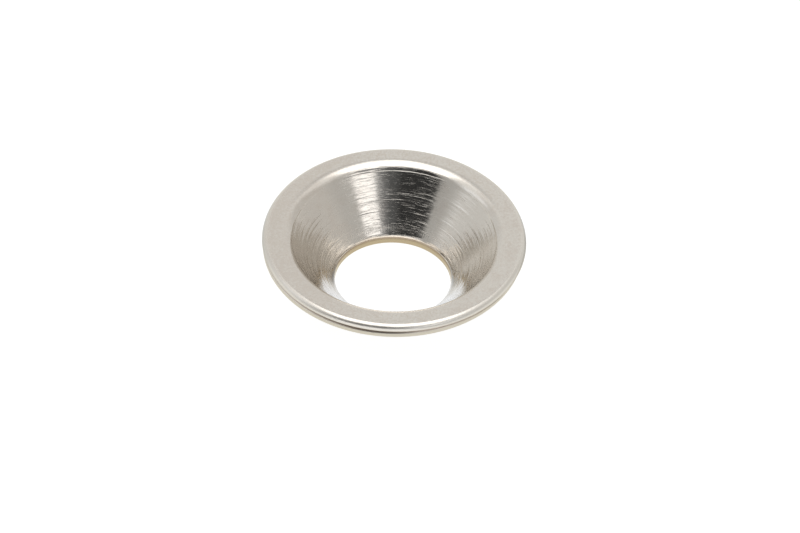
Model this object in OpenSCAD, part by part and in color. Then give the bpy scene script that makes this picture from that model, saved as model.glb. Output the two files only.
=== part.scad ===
// Turned countersunk washer: a conical seat for a countersunk screw head,
// with a thin flange that spreads the load on the surface around the hole.
// Millimetres. The bore runs along +Z and z = 0 is the lower end of the body.

/* [Flange] */
// Diameter over the bead, measured to its full round
flange_d = 15; // [14.4:0.1:24]
// Thickness of the flange, from the flat top to the underside of the lip
flange_t = 0.9; // [0.85:0.05:1.5]
// Radius of the bead
bead_round = 0.35; // [0.25:0.05:0.4]
// Depth of the groove under the bead, from the outside of the bead
groove_depth = 0.2; // [0.14:0.02:0.3]
// How far the bottom of that groove lies below the flat top
groove_drop = 0.46; // [0.44:0.02:0.52]
// Included angle of the groove
groove_angle = 90; // [70:5:100]
// How far the lip below the groove stands back from the bead
lip_step = 0.08; // [0.02:0.02:0.12]
// Round on the lower corner of the lip
lip_round = 0.14; // [0.02:0.02:0.2]

/* [Countersink] */
// Diameter at which the cone would meet the flat top
mouth_d = 12.2; // [10:0.1:12.8]
// Included angle of the cone, as on the screw's head
cone_angle = 82; // [76:1:100]
// Round that leads from the flat top into the cone
mouth_round = 0.95; // [0.1:0.05:1.5]

/* [Bore] */
// Diameter of the screw's hole
bore_d = 6.6; // [4:0.1:8]
// Height of the straight land below the cone, measured to the sharp corner
land_h = 0.45; // [0.3:0.05:1.5]
// Round where the cone runs into the bore
throat_round = 0.45; // [0.05:0.05:0.5]
// Round on the lower end of the bore
bore_exit_round = 0.06; // [0.02:0.02:0.1]

/* [Body] */
// Width of the flat ring on which the body stands, measured to the sharp corner
base_w = 0.5; // [0.3:0.02:0.8]
// Round on the outer edge of that ring
base_round = 0.1; // [0.02:0.02:0.4]
// Fillet between the conical body and the underside of the flange
neck_fillet = 0.2; // [0.05:0.05:0.8]

/* [Hidden] */
$fn = 180;

flange_r = flange_d / 2;
lip_r = flange_r - lip_step;
mouth_r = mouth_d / 2;
bore_r = bore_d / 2;
base_r = bore_r + base_w;

// The cone's depth follows from its two diameters and its angle
cone_slope = tan(cone_angle / 2);
height = land_h + (mouth_r - bore_r) / cone_slope;
under_z = height - flange_t;

// The bead's centre lies one bead radius in from the rim and down from the top
bead_r = flange_r - bead_round;
bead_z = height - bead_round;

// The outside of the body runs parallel to the cone
neck_r = base_r + under_z * cone_slope;

// Overlap that keeps each arc joined to the sides it touches
lap = 0.00001;

// Corners of the sharp section, as radius and height, from the lower end of the bore outwards
bore_exit = [bore_r, 0];
base_edge = [base_r, 0];
neck = [neck_r, under_z];
lip_lower = [lip_r, under_z];
lip_upper = [lip_r, bead_z];
bead_top = [bead_r, height];
mouth = [mouth_r, height];
throat = [bore_r, land_h];

function unit(v) = v / norm(v);

// The sliver between the sharp corner p and a round that touches its two sides, which run
// from p to a and from p to b; it reaches past the corner on the side away from the round
module corner_sliver(a, p, b, round_r) {
    side_a = unit(a - p);
    side_b = unit(b - p);
    to_round = unit(side_a + side_b);
    half_corner = acos(side_a * side_b) / 2;
    reach = round_r / tan(half_corner);
    translate(p)
        difference() {
            polygon([-to_round * reach, side_a * reach, side_b * reach]);
            translate(to_round * round_r / sin(half_corner))
                circle(round_r + lap);
        }
}

// The groove that parts the bead from the lip, open to the outside
module groove_cut() {
    reach = 2 * groove_depth;
    spread = reach * tan(groove_angle / 2);
    translate([flange_r - groove_depth, height - groove_drop])
        polygon([[0, 0], [reach, -spread], [reach, spread]]);
}

module section() {
    difference() {
        union() {
            polygon([bore_exit, base_edge, neck, lip_lower, lip_upper, bead_top, mouth, throat]);
            corner_sliver(base_edge, neck, lip_lower, neck_fillet);
            translate([bead_r, bead_z])
                circle(bead_round + lap);
        }
        corner_sliver(throat, bore_exit, base_edge, bore_exit_round);
        corner_sliver(bore_exit, base_edge, neck, base_round);
        corner_sliver(neck, lip_lower, lip_upper, lip_round);
        groove_cut();
        corner_sliver(bead_top, mouth, throat, mouth_round);
        corner_sliver(mouth, throat, bore_exit, throat_round);
    }
}

module washer() {
    color("silver")
        rotate_extrude()
            section();
}

washer();
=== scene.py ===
import math
import random

import bpy
from mathutils import Matrix, Vector


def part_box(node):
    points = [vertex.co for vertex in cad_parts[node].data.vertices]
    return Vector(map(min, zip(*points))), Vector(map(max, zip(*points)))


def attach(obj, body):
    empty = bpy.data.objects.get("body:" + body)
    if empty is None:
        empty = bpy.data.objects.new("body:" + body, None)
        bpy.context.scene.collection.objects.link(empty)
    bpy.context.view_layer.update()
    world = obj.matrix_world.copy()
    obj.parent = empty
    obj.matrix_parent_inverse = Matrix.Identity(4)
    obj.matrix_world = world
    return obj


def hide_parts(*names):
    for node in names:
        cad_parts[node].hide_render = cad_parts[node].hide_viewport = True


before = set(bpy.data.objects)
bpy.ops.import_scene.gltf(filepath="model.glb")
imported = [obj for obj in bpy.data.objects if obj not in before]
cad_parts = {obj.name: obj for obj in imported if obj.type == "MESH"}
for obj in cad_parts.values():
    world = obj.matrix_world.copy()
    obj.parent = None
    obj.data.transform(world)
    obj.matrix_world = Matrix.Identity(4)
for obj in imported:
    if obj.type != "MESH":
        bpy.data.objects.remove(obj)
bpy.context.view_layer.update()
scene = bpy.context.scene
mm = 0.001


# Small helpers for node trees
def addNode(tree, kind, **settings):
    node = tree.nodes.new(kind)
    for name, value in settings.items():
        setattr(node, name, value)
    return node


def feed(tree, socket, value):
    if isinstance(value, bpy.types.NodeSocket):
        tree.links.new(value, socket)
    else:
        socket.default_value = value


def mathNode(tree, operation, *values, clamp=False):
    node = addNode(tree, "ShaderNodeMath", operation=operation, use_clamp=clamp)
    for socket, value in zip(node.inputs, values):
        feed(tree, socket, value)
    return node.outputs[0]


def vectorNode(tree, operation, *values):
    node = addNode(tree, "ShaderNodeVectorMath", operation=operation)
    for socket, value in zip(node.inputs, values):
        feed(tree, socket, value)
    return node.outputs[0]


def ease(tree, value, low, high):  # smooth step from 0 at low to 1 at high
    node = addNode(tree, "ShaderNodeMapRange", interpolation_type="SMOOTHSTEP")
    feed(tree, node.inputs["Value"], value)
    feed(tree, node.inputs["From Min"], low)
    feed(tree, node.inputs["From Max"], high)
    return node.outputs["Result"]


def mixColour(tree, factor, first, second):
    node = addNode(tree, "ShaderNodeMix", data_type="RGBA")
    feed(tree, node.inputs[0], factor)
    feed(tree, node.inputs[6], first)
    feed(tree, node.inputs[7], second)
    return node.outputs[2]


def mixValue(tree, factor, first, second):
    node = addNode(tree, "ShaderNodeMix", data_type="FLOAT")
    feed(tree, node.inputs[0], factor)
    feed(tree, node.inputs[2], first)
    feed(tree, node.inputs[3], second)
    return node.outputs[0]


def newGroup(name, inputs, outputs):
    group = bpy.data.node_groups.new(name, "ShaderNodeTree")
    for label, kind, default in inputs:
        socket = group.interface.new_socket(label, in_out="INPUT", socket_type=kind)
        if default is not None:
            socket.default_value = default
    for label, kind in outputs:
        group.interface.new_socket(label, in_out="OUTPUT", socket_type=kind)
    return group, addNode(group, "NodeGroupInput").outputs, addNode(group, "NodeGroupOutput").inputs


def placeGroup(tree, group, **values):
    node = addNode(tree, "ShaderNodeGroup", node_tree=group)
    for label, value in values.items():
        feed(tree, node.inputs[label], value)
    return node.outputs


# The washer: one lathe section, turned about Z
washer = {
    "segments": 240,           # steps around
    "flangeR": 7.495 * mm,     # to the full round of the bead
    "flangeT": 0.90 * mm,
    "beadRound": 0.40 * mm,
    "grooveDepth": 0.20 * mm,  # under the bead
    "grooveDrop": 0.50 * mm,   # from the flat top to the groove's bottom
    "stainWidth": 0.06 * mm,   # of the painted shade line in the groove
    "lipStep": 0.115 * mm,     # how far the lip under the groove stands back
    "lipRunout": 0.05 * mm,    # the lip runs out of true, further out on the left
    "lipRound": 0.14 * mm,
    "edge": 0.006 * mm,        # between the pairs of rings that keep the rim's edges crisp
    "mouthR": 6.10 * mm,       # where the cone would meet the flat top
    "coneSlope": 49.0,         # degrees above level
    "mouthRound": 0.95 * mm,
    "boreR": 3.30 * mm,
    "landH": 0.45 * mm,        # where the cone would meet the bore
    "throatRound": 0.45 * mm,
    "exitRound": 0.06 * mm,
    "baseW": 0.50 * mm,
    "baseRound": 0.10 * mm,
    "neckFillet": 0.20 * mm,
    # steps along each stretch of the section, and the throat's rings where the painted gold reflection and
    # the painted brown shade end
    "steps": {"exit": 6, "land": 4, "throat": 14, "mouth": 36, "flat": 8, "bead": 28,
              "lip": 8, "under": 4, "neck": 6, "wall": 5, "base": 5},
    "goldEnd": 5,
    "creaseShadeEnd": 8,
}

# Turning marks on the cone; a tilt is how many degrees the wall faces further up
marks = {
    "seed": 11,
    "rings": 250,
    "pitch": (0.05, 0.13),    # mm between marks
    "tilt": 1.2,              # of a usual mark
    "drift": 20,              # rings to either side over which slow drift is taken out
    "fade": 8,                # rings at both ends of the cone over which the usual marks run out
    "grooveWidth": 0.08,      # mm
    "grooves": [              # share of the way up the cone, tilt of a groove's sides
        (0.085, 3.0), (0.20, 5.5), (0.245, 5.0), (0.30, 6.5), (0.36, 4.5), (0.43, 5.0),
        (0.49, 5.5), (0.54, 7.0), (0.62, 3.5), (0.69, 6.0), (0.80, 2.5), (0.90, 3.0),
    ],
    "grooveMean": 0.55,       # share of a groove's depth that is usual
    "grooveWaves": [(2, 0.45, 2.4), (5, 0.35, 1.7)],  # times around, share of depth, shift per groove
    "boreRing": (0.05, -6.0),    # mm and tilt of the ring just above the bore
    "mouthRing": (0.045, -9.0),  # mm and tilt of the ring where the cone meets the mouth
    "easeOut": 1.2,           # mm over which these two rings run out
    "chatter": (0.10, 0.08),  # middle and half width of a rough band, as shares of the way up the cone
}


def arc(centre, radius, start, end, steps):
    points = []
    for k in range(steps + 1):
        angle = math.radians(start + (end - start) * k / steps)
        points.append((centre[0] + radius * math.cos(angle), centre[1] + radius * math.sin(angle)))
    return points


def straight(start, end, steps):  # the points between two ends, without the ends
    return [(start[0] + (end[0] - start[0]) * k / steps, start[1] + (end[1] - start[1]) * k / steps)
            for k in range(1, steps)]


def markLifts(look, run):
    # height of the usual marks over the plain cone, in mm, one per ring, with the slow drift taken out
    chance = random.Random(look["seed"])
    tilts = []
    while len(tilts) <= look["rings"]:
        width = chance.uniform(*look["pitch"])
        tilts += [chance.gauss(0.0, look["tilt"])] * max(1, round(width / run * look["rings"]))
    step = run / look["rings"]
    raw = [0.0]
    for tilt in tilts[:look["rings"]]:
        raw.append(raw[-1] - math.tan(math.radians(tilt)) * step)
    lifts = []
    for k in range(look["rings"] + 1):
        window = raw[max(0, k - look["drift"]):k + look["drift"] + 1]
        fade = min(1.0, k / look["fade"], (look["rings"] - k) / look["fade"])
        lifts.append((raw[k] - sum(window) / len(window)) * fade)
    return lifts


def grooveLift(look, run, place):
    # height in a groove, below the wall, in mm, and which groove it is
    half = look["grooveWidth"] / 2
    for number, (share, tilt) in enumerate(look["grooves"]):
        offset = abs(place - share * run)
        if offset < half:
            return -math.tan(math.radians(tilt)) * (half - offset), number
    return 0.0, 0


def endLift(look, run, place):
    # height of the rings at both ends of the cone, in mm, which run out towards its middle
    def ringLift(ring, distance):
        width, tilt = ring
        share = min(distance / width, max(0.0, 1 - (distance - width) / look["easeOut"]))
        return math.tan(math.radians(tilt)) * width * share

    return ringLift(look["mouthRing"], run - place) - ringLift(look["boreRing"], place)


def turnedCone(start, end, look):
    run = math.dist(start, end)
    up = ((end[0] - start[0]) / run, (end[1] - start[1]) / run)
    usual = markLifts(look, run / mm)
    points = []
    for k in range(1, look["rings"]):
        place = run * k / look["rings"]
        lift = (usual[k] + endLift(look, run / mm, place / mm)) * mm
        groove, number = grooveLift(look, run / mm, place / mm)
        points.append((start[0] + up[0] * place - up[1] * lift, start[1] + up[1] * place + up[0] * lift,
                       groove * mm, number))
    return points


def beadCut(size, height):
    # where the groove's upper side, at 45 degrees, runs out of the bead
    groove = (size["flangeR"] - size["grooveDepth"], height - size["grooveDrop"])
    bead = size["beadRound"]
    centre = (size["flangeR"] - bead, height - bead)
    away = (groove[0] - centre[0], groove[1] - centre[1])
    half = (away[0] + away[1]) / 2
    reach = -half + math.sqrt(half ** 2 - (away[0] ** 2 + away[1] ** 2 - bead ** 2) / 2)
    return groove, centre, math.degrees(math.atan2(away[1] + reach, away[0] + reach))


def washerSection(size, look, height):
    slope = math.radians(size["coneSlope"])
    lean = 1 / math.tan(slope)
    under = height - size["flangeT"]
    steps = size["steps"]
    rows = []  # one dictionary per ring, from the bore's lower end round to the base

    def add(points, **zones):  # a zone gives its share at the first and the last point
        for k, point in enumerate(points):
            share = k / max(1, len(points) - 1)
            row = {"r": point[0], "z": point[1], "groove": 0.0, "number": 0, "chatter": 0.0}
            for label in ("cone", "bore", "bead", "stain", "lip"):
                first, last = zones.get(label, (0, 0))
                row[label] = first + (last - first) * share
            if len(point) > 2:  # a point of the cone
                row["groove"], row["number"] = point[2:]
                row["chatter"] = max(0.0, 1 - abs(share - look["chatter"][0]) / look["chatter"][1])
            rows.append(row)

    exitR = size["exitRound"]
    exitArc = arc((size["boreR"] + exitR, exitR), exitR, 270, 180, steps["exit"])
    throat = size["throatRound"]
    throatZ = size["landH"] - throat * math.tan(math.pi / 4 - slope / 2)
    throatArc = arc((size["boreR"] + throat, throatZ), throat, 180, 90 + size["coneSlope"], steps["throat"])
    mouth = size["mouthRound"]
    mouthX = size["mouthR"] + mouth * math.tan(slope / 2)
    mouthArc = arc((mouthX, height - mouth), mouth, 90 + size["coneSlope"], 90, steps["mouth"])
    groove, beadCentre, beadEnd = beadCut(size, height)
    beadArc = arc(beadCentre, size["beadRound"], 90, beadEnd, steps["bead"])
    lipR = size["flangeR"] - size["lipStep"]
    lipTop = (lipR, groove[1] - (lipR - groove[0]))
    lower = size["lipRound"]
    lowerArc = arc((lipR - lower, under + lower), lower, 0, -90, steps["lip"])
    baseR = size["boreR"] + size["baseW"]
    neck = size["neckFillet"]
    neckX = baseR + under * lean + neck * math.tan(slope / 2)
    neckArc = arc((neckX, under - neck), neck, 90, 90 + size["coneSlope"], steps["neck"])
    base = size["baseRound"]
    baseX = baseR - base * math.tan(slope / 2)
    baseArc = arc((baseX, base), base, size["coneSlope"] - 90, -90, steps["base"])

    # close pairs of rings keep the edges of the bead, the groove and the lip crisp
    edge = size["edge"]
    stain = size["stainWidth"]
    beadSide = [(beadArc[-1][0] - edge, beadArc[-1][1] - edge), (groove[0] + edge, groove[1] + edge)]
    grooveSide = [groove, (groove[0] + edge, groove[1] - edge), (groove[0] + stain, groove[1] - stain)]
    lipSide = [(lipTop[0] - edge, lipTop[1] + edge), lipTop, (lipTop[0], lipTop[1] - edge)]

    # painted reflection: gold on the bore's lower edge, the land and the throat, and a little on the lip
    # and the base
    add(exitArc, bore=(1, 1))
    add(straight(exitArc[-1], throatArc[0], steps["land"]), bore=(1, 1))
    add(throatArc[:size["goldEnd"]], cone=(0, 0.3), bore=(1, 0.9))
    # painted shade: a brown band across the throat
    add(throatArc[size["goldEnd"]:size["creaseShadeEnd"]], cone=(0.35, 0.5), bore=(0.5, 0.1), stain=(0.5, 0.7))
    add(throatArc[size["creaseShadeEnd"]:], cone=(0.6, 1))
    add(turnedCone(throatArc[-1], mouthArc[0], look), cone=(1, 1))
    add(mouthArc, cone=(1, 0))
    add(straight(mouthArc[-1], beadArc[0], steps["flat"]))
    add(beadArc, bead=(0, 1))
    # painted shade: brown down the bead's underside and into the groove
    add(beadSide, bead=(1, 0), stain=(0, 1))
    add(grooveSide, bead=(0, 0.6), stain=(1, 0.3))
    add(lipSide, bore=(0.1, 0.1), bead=(0.6, 0.6), lip=(1, 1))
    add(lowerArc, bore=(0.1, 0.1), bead=(0.6, 0), lip=(1, 1))
    add(straight(lowerArc[-1], neckArc[0], steps["under"]), bore=(0.1, 0), lip=(0.9, 0.1))
    add(neckArc)
    add(straight(neckArc[-1], baseArc[0], steps["wall"]))
    add(baseArc, bore=(0, 0.4))

    # mm walked along the section, which the rings in the metal follow
    walked = 0.0
    for before, row in zip([rows[0]] + rows, rows):
        walked += math.dist((before["r"], before["z"]), (row["r"], row["z"])) / mm
        row["along"] = walked
    return rows


def turnedMesh(name, rows, size, look):
    verts = []
    faces = []
    count = len(rows)
    segments = size["segments"]
    slope = math.radians(size["coneSlope"])
    for turn in range(segments):
        angle = 2 * math.pi * turn / segments
        lipShift = -size["lipRunout"] * math.cos(angle)
        for row in rows:
            # each groove comes and goes around the cone
            wave = look["grooveMean"]
            for times, strength, shift in look["grooveWaves"]:
                wave += strength * math.sin(times * angle + shift * row["number"])
            r = row["r"] - math.sin(slope) * row["groove"] * wave + row["lip"] * lipShift
            z = row["z"] + math.cos(slope) * row["groove"] * wave
            verts.append((r * math.cos(angle), r * math.sin(angle), z))
    for turn in range(segments):
        here = turn * count
        there = (turn + 1) % segments * count
        for k in range(count):
            nextK = (k + 1) % count
            faces.append((here + k, here + nextK, there + nextK, there + k))
    mesh = bpy.data.meshes.new(name)
    mesh.from_pydata(verts, [], faces)
    for label in ("cone", "bore", "bead", "stain", "chatter", "along"):
        layer = mesh.attributes.new(label, "FLOAT", "POINT")
        layer.data.foreach_set("value", [row[label] for row in rows] * segments)
    mesh.shade_smooth()
    mesh.update()
    return mesh


low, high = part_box("washer")
rows = washerSection(washer, marks, high[2] - low[2])
washerPiece = bpy.data.objects.new("washerTurned", turnedMesh("washerTurned", rows, washer, marks))
scene.collection.objects.link(washerPiece)
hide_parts("washer")
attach(washerPiece, "root")
print("washer:", len(rows), "rings,", len(washerPiece.data.polygons) * 2, "triangles")


# Nickel plate: satin on the flange, bright turning marks in the cone, painted shade in the groove and on
# the left side, and a painted gold reflection in the bore
nickel = {
    "plate": (0.715, 0.68, 0.625, 1.0),
    "grainAndShadeTone": (0.66, 0.605, 0.545, 1.0),   # faint patches and grain, and painted shade on the left side
    "reflectedGold": (0.62, 0.52, 0.37, 1.0),     # painted reflection: the warm tint of light bounced between the nickel walls, in the bore
    "bright": (0.84, 0.81, 0.75, 1.0),   # burnished, on the bead and the lip
    "creaseShadeBrown": (0.30, 0.18, 0.10, 1.0),    # painted shade: brown in the groove under the bead, and over the gold in the throat
    "patchShare": 0.4,       # how much of the warm colour each of these brings in
    "grainShare": 2.8,
    "coneGrainShare": 0.84,
    # painted shade on the left side
    "shadedSide": 0.45,
    "ringScale": (2.5, 9.0),     # how fine a noise is: around the axis, and along the section
    "scratchScale": (5.0, 16.0),
    "dashScale": (15.0, 18.0),
    "tickScale": (9.0, 3.0),
    "grainScale": 8.0,
    "patchScale": 1.3,
    "scratchRange": (0.5, 0.7),  # where a noise starts to show, and where it shows in full
    "dashRange": (0.5, 0.75),
    "tickRange": (0.4, 0.7),
    "patchRange": (0.42, 0.72),
    "shadedRange": (0.1, -0.9),    # painted shade, from the middle to the left rim
    "grainFloor": 0.4,
    "flangeRough": 0.25,
    "beadRough": 0.36,
    "coneRough": 0.11,
    "scratchRough": 0.16,    # added in the scratched rings
    "dashRough": 0.14,       # added in short dashes
    "chatterRough": 0.22,    # added in the rough band
    "bumpDepth": 0.001 * mm,
    "flangeGrain": 4.0,      # depths, times bumpDepth
    "coneRings": 8.0,
    "coneScratches": 4.0,
    "coneDashes": 1.2,
    "chatterDepth": 2.5,
    "chatterTicks": 170.0,   # ticks once around
}


def noiseNode(tree, vector, scale, detail):
    node = addNode(tree, "ShaderNodeTexNoise")
    feed(tree, node.inputs["Vector"], vector)
    feed(tree, node.inputs["Scale"], scale)
    feed(tree, node.inputs["Detail"], detail)
    return node.outputs["Fac"]


def nickelMaterial(look):
    material = bpy.data.materials.new("nickelPlate")
    material.use_nodes = True
    tree = material.node_tree
    shader = tree.nodes["Principled BSDF"]
    shader.inputs["Metallic"].default_value = 1.0
    cone, bore, bead, stain, chatter, along = (
        addNode(tree, "ShaderNodeAttribute", attribute_name=label).outputs["Fac"]
        for label in ("cone", "bore", "bead", "stain", "chatter", "along"))

    # place around the axis and along the section, so that marks run in rings
    place = vectorNode(tree, "SCALE", addNode(tree, "ShaderNodeTexCoord").outputs["Object"])
    place.node.inputs["Scale"].default_value = 1 / mm
    around = vectorNode(tree, "NORMALIZE", vectorNode(tree, "MULTIPLY", place, (1.0, 1.0, 0.0)))
    split = addNode(tree, "ShaderNodeSeparateXYZ")
    feed(tree, split.inputs[0], around)

    def ringVector(aroundScale, alongScale):
        join = addNode(tree, "ShaderNodeCombineXYZ")
        feed(tree, join.inputs[0], mathNode(tree, "MULTIPLY", split.outputs["X"], aroundScale))
        feed(tree, join.inputs[1], mathNode(tree, "MULTIPLY", split.outputs["Y"], aroundScale))
        feed(tree, join.inputs[2], mathNode(tree, "MULTIPLY", along, alongScale))
        return join.outputs[0]

    def total(*parts):  # sum of value times weight
        result = 0.0
        for value, weight in parts:
            result = mathNode(tree, "MULTIPLY_ADD", value, weight, result)
        return result

    rings = noiseNode(tree, ringVector(*look["ringScale"]), 1.0, 2.0)
    scratches = noiseNode(tree, ringVector(*look["scratchScale"]), 1.0, 2.0)
    dashes = noiseNode(tree, ringVector(*look["dashScale"]), 1.0, 1.0)
    grain = noiseNode(tree, place, look["grainScale"], 2.0)
    patches = noiseNode(tree, place, look["patchScale"], 3.0)

    # chatter: fine ticks that come and go around the axis
    angle = mathNode(tree, "ARCTAN2", split.outputs["Y"], split.outputs["X"])
    ticks = mathNode(tree, "SINE", mathNode(tree, "MULTIPLY", angle, look["chatterTicks"]))
    tickMask = ease(tree, noiseNode(tree, ringVector(*look["tickScale"]), 1.0, 1.0), *look["tickRange"])
    ticks = mathNode(tree, "MULTIPLY", ticks, tickMask)

    # colour: painted shade makes the left side of the flange a little darker and warmer
    shadedLeft = ease(tree, split.outputs["X"], *look["shadedRange"])
    grainShare = mixValue(tree, cone, look["grainShare"], look["coneGrainShare"])
    grainPatchesAndShade = total((mathNode(tree, "SUBTRACT", grain, look["grainFloor"]), grainShare),
                   (ease(tree, patches, *look["patchRange"]), look["patchShare"]),
                   (shadedLeft, look["shadedSide"]))
    grainPatchesAndShade = mathNode(tree, "MINIMUM", mathNode(tree, "MAXIMUM", grainPatchesAndShade, 0.0), 1.0)
    tint = mixColour(tree, grainPatchesAndShade, look["plate"], look["grainAndShadeTone"])
    tint = mixColour(tree, bead, tint, look["bright"])
    # painted shade: brown in the groove and on the throat
    tint = mixColour(tree, stain, tint, look["creaseShadeBrown"])
    # painted reflection: gold in the bore
    feed(tree, shader.inputs["Base Color"], mixColour(tree, bore, tint, look["reflectedGold"]))

    coneRough = mathNode(tree, "ADD", look["coneRough"], total(
        (ease(tree, scratches, *look["scratchRange"]), look["scratchRough"]),
        (ease(tree, dashes, *look["dashRange"]), look["dashRough"]),
        (mathNode(tree, "MULTIPLY", chatter, dashes), look["chatterRough"])))
    plainRough = mixValue(tree, bead, look["flangeRough"], look["beadRough"])
    feed(tree, shader.inputs["Roughness"], mixValue(tree, cone, plainRough, coneRough))

    # fine relief: rings, scratches, dashes and ticks on the cone, grain elsewhere
    coneHeight = total((rings, look["coneRings"]), (scratches, look["coneScratches"]),
                       (dashes, look["coneDashes"]),
                       (mathNode(tree, "MULTIPLY", ticks, chatter), look["chatterDepth"]))
    bump = addNode(tree, "ShaderNodeBump")
    bump.inputs["Distance"].default_value = look["bumpDepth"]
    feed(tree, bump.inputs["Height"],
         mixValue(tree, cone, mathNode(tree, "MULTIPLY", grain, look["flangeGrain"]), coneHeight))
    feed(tree, shader.inputs["Normal"], bump.outputs["Normal"])
    return material


washerPiece.data.materials.append(nickelMaterial(nickel))
print("nickel plate: done")


# Floor: pale, and so bright that only the contact shadow shows
floor = {"size": 4.0, "base": (0.30, 0.30, 0.30, 1.0), "glow": 0.88}


def floorPiece(look):
    half = look["size"] / 2
    mesh = bpy.data.meshes.new("paleFloor")
    corners = [(-half, -half, 0), (half, -half, 0), (half, half, 0), (-half, half, 0)]
    mesh.from_pydata(corners, [], [(0, 1, 2, 3)])
    piece = bpy.data.objects.new("paleFloor", mesh)
    scene.collection.objects.link(piece)
    material = bpy.data.materials.new("paleFloor")
    material.use_nodes = True
    shader = material.node_tree.nodes["Principled BSDF"]
    shader.inputs["Base Color"].default_value = look["base"]
    shader.inputs["Roughness"].default_value = 1.0
    shader.inputs["Specular IOR Level"].default_value = 0.0
    shader.inputs["Emission Color"].default_value = (1.0, 1.0, 1.0, 1.0)
    shader.inputs["Emission Strength"].default_value = look["glow"]
    mesh.materials.append(material)
    piece.visible_glossy = False  # the metal mirrors the tent instead
    return piece


floorPiece(floor)
print("floor: done")


# Light tent around the washer, as directions: azimuth 0 is the camera's side, + is to its right
tent = {
    "wall": (0.83, 0.83, 0.82, 1.0),
    "table": (0.88, 0.87, 0.79, 1.0),
    "horizon": 4.0,  # degrees over which the table turns into the wall, up and down
    "panels": [
        # name, azimuth, half width, feather, low, feather, high, feather, colour, level
        # all in degrees; a later panel covers an earlier one
        ("rightWall", 92, 38, 10, -4, 4, 48, 8, (1.0, 0.99, 0.965), 0.68),
        ("rightNear", 60, 16, 10, 5, 8, 50, 8, (1.0, 1.0, 0.985), 0.59),
        ("leftWall", -95, 42, 10, -4, 4, 55, 8, (1.0, 1.0, 0.99), 0.735),
        ("leftFar", -92, 18, 6, 28, 3, 48, 6, (0.98, 1.0, 1.03), 1.05),
        ("leftNear", -54, 18, 12, 5, 8, 55, 8, (1.0, 1.0, 0.99), 0.50),
        ("lowWalls", 0, 118, 8, -22, 4, 6, 5, (1.0, 1.0, 0.97), 1.0),
        ("horizonRight", 134, 20, 8, -27, 4, -5, 4, (1.0, 1.0, 1.0), 0.32),
        ("horizonLeft", -134, 20, 8, -27, 4, -5, 4, (0.96, 1.0, 1.03), 0.60),
        ("frontWall", 0, 48, 6, -17, 4, 8, 8, (1.0, 1.0, 1.0), 0.98),
        ("frontLight", -12, 34, 5, 8, 8, 32, 3, (1.0, 1.0, 1.0), 1.4),
        ("tableShade", 0, 130, 15, -38, 3, -16, 5, (1.0, 0.93, 0.82), 0.58),
        ("tableBack", 180, 34, 8, -42, 4, -18, 5, (0.97, 1.0, 1.04), 1.05),
        ("roof", 0, 200, 10, 60, 2, 100, 1, (1.0, 1.0, 1.0), 2.2),
        ("upperWall", 180, 95, 10, 46, 4, 65, 5, (1.0, 1.0, 0.99), 0.95),
        ("roofEdge", 180, 38, 12, 50, 3, 66, 3, (1.0, 1.0, 1.0), 0.58),
        ("cameraSide", -13, 37, 2.5, 25, 2, 66, 8, (0.97, 1.0, 1.03), 0.035),
        ("cameraGlow", 6, 9, 6, 25, 3, 60, 8, (0.96, 1.0, 1.04), 0.10),
        ("overStrip", 36, 14, 4, 44, 3, 62, 6, (1.0, 1.0, 1.0), 0.26),
        ("underStrip", 36, 14, 4, 14, 4, 32, 2, (1.0, 1.0, 1.0), 0.36),
        ("stripGlow", 30, 15, 9, 25, 3, 56, 8, (0.98, 1.0, 1.03), 0.36),
        ("stripLight", 37, 13, 3, 31, 1.5, 45, 1.5, (1.0, 1.0, 1.01), 1.6),
    ],
}


def panelGroup():
    group, given, result = newGroup(
        "tentPanel",
        [(label, "NodeSocketFloat", 0.0) for label in
         ("Azimuth", "Elevation", "Centre", "Half Width", "Side Feather",
          "Low", "Low Feather", "High", "High Feather")],
        [("Mask", "NodeSocketFloat")])
    offset = mathNode(group, "SUBTRACT", given["Azimuth"], given["Centre"])
    offset = mathNode(group, "WRAP", offset, 180.0, -180.0)
    offset = mathNode(group, "ABSOLUTE", offset)
    inner = mathNode(group, "SUBTRACT", given["Half Width"], given["Side Feather"])
    outer = mathNode(group, "ADD", given["Half Width"], given["Side Feather"])
    across = ease(group, offset, outer, inner)
    rise = ease(group, given["Elevation"], mathNode(group, "SUBTRACT", given["Low"], given["Low Feather"]),
                mathNode(group, "ADD", given["Low"], given["Low Feather"]))
    fall = ease(group, given["Elevation"], mathNode(group, "ADD", given["High"], given["High Feather"]),
                mathNode(group, "SUBTRACT", given["High"], given["High Feather"]))
    upright = mathNode(group, "MULTIPLY", rise, fall)
    feed(group, result["Mask"], mathNode(group, "MULTIPLY", across, upright))
    return group


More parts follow.
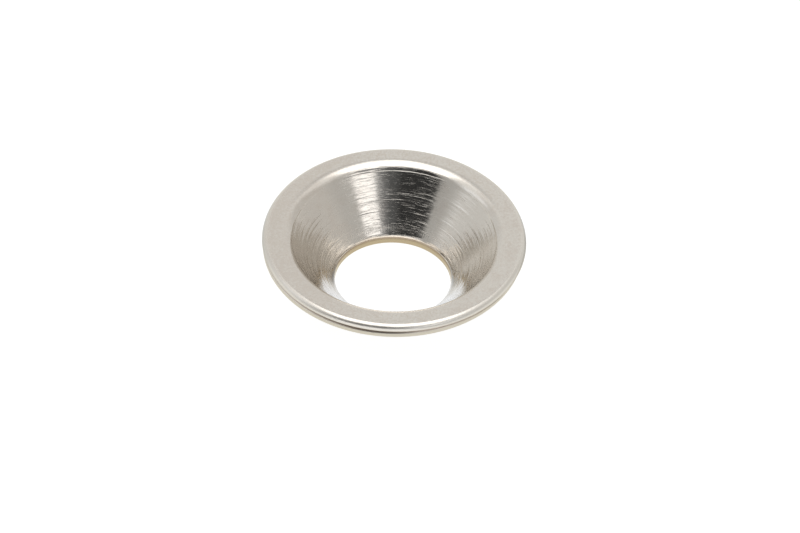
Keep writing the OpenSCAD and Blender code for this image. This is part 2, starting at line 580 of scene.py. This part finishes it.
def tentWorld(look):
    world = bpy.data.worlds.new("lightTent")
    scene.world = world
    world.use_nodes = True
    tree = world.node_tree
    group = panelGroup()
    direction = addNode(tree, "ShaderNodeTexCoord").outputs["Generated"]
    split = addNode(tree, "ShaderNodeSeparateXYZ")
    feed(tree, split.inputs[0], direction)
    toFront = mathNode(tree, "MULTIPLY", split.outputs["Y"], -1.0)
    azimuth = mathNode(tree, "DEGREES", mathNode(tree, "ARCTAN2", split.outputs["X"], toFront))
    elevation = mathNode(tree, "DEGREES", mathNode(tree, "ARCSINE", split.outputs["Z"]))
    isWall = ease(tree, elevation, -look["horizon"], look["horizon"])
    colour = mixColour(tree, isWall, look["table"], look["wall"])
    for name, centre, half, side, lowEl, lowSoft, highEl, highSoft, tint, level in look["panels"]:
        mask = placeGroup(tree, group, **{
            "Azimuth": azimuth, "Elevation": elevation, "Centre": float(centre), "Half Width": float(half),
            "Side Feather": float(side), "Low": float(lowEl), "Low Feather": float(lowSoft),
            "High": float(highEl), "High Feather": float(highSoft)})
        colour = mixColour(tree, mask["Mask"], colour, tuple(c * level for c in tint) + (1.0,))
    background = tree.nodes["Background"]
    cameraRay = addNode(tree, "ShaderNodeLightPath").outputs["Is Camera Ray"]
    feed(tree, background.inputs["Color"], mixColour(tree, cameraRay, colour, (1.0, 1.0, 1.0, 1.0)))
    return world


tentWorld(tent)
print("light tent:", len(tent["panels"]), "panels")


# Camera: a long lens, tilted slightly, aimed a little to the right of and below the washer's top
cameraSet = {
    "lens": 318.31,
    "sensor": 36.0,
    "clip": (0.01, 20.0),
    "distance": 0.4,
    "elevation": 43.49,  # degrees
    "roll": 1.88,
    "aimRight": 0.324 * mm,
    "aimDown": 1.734 * mm,
}


def addCamera(look, top):
    data = bpy.data.cameras.new("photoCamera")
    data.lens = look["lens"]
    data.sensor_width = look["sensor"]
    data.sensor_fit = "HORIZONTAL"
    data.clip_start, data.clip_end = look["clip"]
    camera = bpy.data.objects.new("photoCamera", data)
    scene.collection.objects.link(camera)
    tilt = math.radians(look["elevation"])
    turn = Matrix.Rotation(math.pi / 2 - tilt, 3, "X") @ Matrix.Rotation(math.radians(look["roll"]), 3, "Z")
    back = turn @ Vector((look["aimRight"], -look["aimDown"], look["distance"]))
    camera.matrix_world = Matrix.Translation(top + back) @ turn.to_4x4()
    scene.camera = camera
    return camera


addCamera(cameraSet, Vector((0.0, 0.0, high[2])))
scene.view_settings.view_transform = "Standard"
scene.view_settings.look = "None"
print("camera: done")

bpy.context.view_layer.update()
